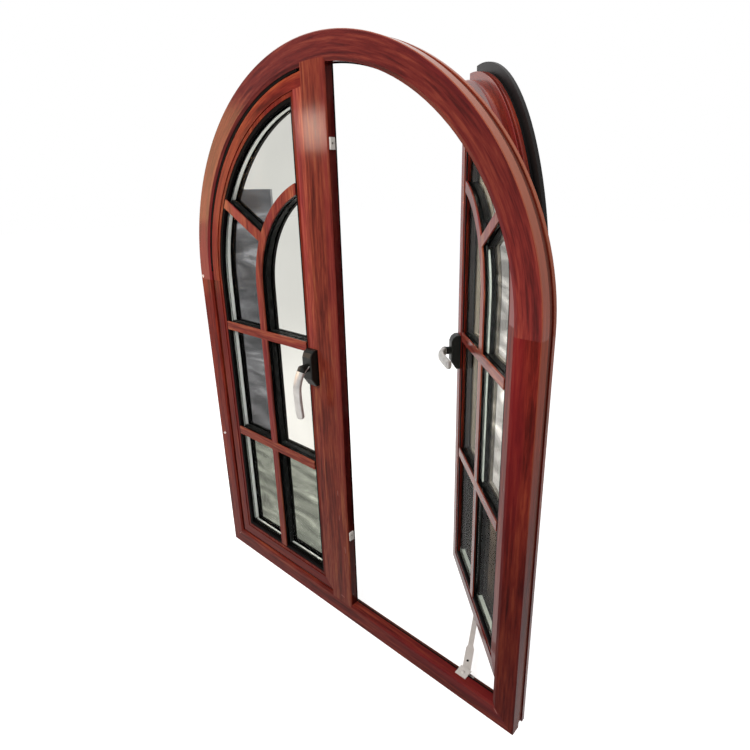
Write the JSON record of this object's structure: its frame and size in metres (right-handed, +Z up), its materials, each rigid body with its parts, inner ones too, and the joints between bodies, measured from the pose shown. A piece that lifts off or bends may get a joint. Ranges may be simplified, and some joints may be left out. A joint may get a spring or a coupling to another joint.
{
  "type": "arched-top casement window",
  "caption": "Arched-top double casement window in a fixed frame with a centre mullion; glazed leaves with fan-pattern bars, one leaf closed and one standing open outwards.",
  "frame": {"origin": "middle of the sill rail's underside, half way through the room-side shell's depth", "axes": "+X to the right seen from the room, +Y towards outdoors, +Z up"},
  "size_m": [0.9, 0.391, 1.1999],
  "materials": {
    "wood_grain": "satin wood-grain transfer on aluminium",
    "charcoal_paint": "fine-texture charcoal powder coat",
    "brown_polyamide": "matt brown",
    "black_polyamide": "matt black",
    "clear_glass": "clear float glass",
    "spacer_bar": "mill bright",
    "handle_black": "satin black",
    "handle_silver": "satin anodised",
    "zinc_plate": "bright zinc",
    "stainless": "brushed"
  },
  "bodies": {
    "root": {"arched_head": "wood_grain", "centre_mullion": "wood_grain", "frame_thermal_break": "brown_polyamide", "left_bottom_rail": "wood_grain", "left_glass_spacer": "spacer_bar", "left_glazing_bead": "wood_grain", "left_handle_base": "handle_black", "left_handle_lever": "handle_silver", "left_hinge_stile": "wood_grain", "left_inner_grille": "wood_grain", "left_inner_pane": "clear_glass", "left_jamb": "wood_grain", "left_lock_stile": "wood_grain", "left_lower_hinge": "stainless", "left_outer_grille": "charcoal_paint", "left_outer_jamb": "wood_grain", "left_outer_leaf": "charcoal_paint", "left_outer_pane": "clear_glass", "left_sash_break": "black_polyamide", "left_sash_head": "wood_grain", "left_upper_hinge": "stainless", "lower_keeper": "zinc_plate", "outer_arched_head": "wood_grain", "outer_mullion": "wood_grain", "outer_sill": "wood_grain", "right_bottom_rail": "wood_grain", "right_glass_spacer": "spacer_bar", "right_glazing_bead": "wood_grain", "right_handle_base": "handle_black", "right_handle_lever": "handle_silver", "right_hinge_stile": "wood_grain", "right_inner_grille": "wood_grain", "right_inner_pane": "clear_glass", "right_jamb": "wood_grain", "right_lock_stile": "wood_grain", "right_lower_hinge": "stainless", "right_outer_grille": "charcoal_paint", "right_outer_jamb": "wood_grain", "right_outer_leaf": "charcoal_paint", "right_outer_pane": "clear_glass", "right_sash_break": "black_polyamide", "right_sash_head": "wood_grain", "right_upper_hinge": "stainless", "sill_rail": "wood_grain", "stay_arm": "stainless", "stay_block": "stainless", "upper_keeper": "zinc_plate"}
  },
  "joints": []
}
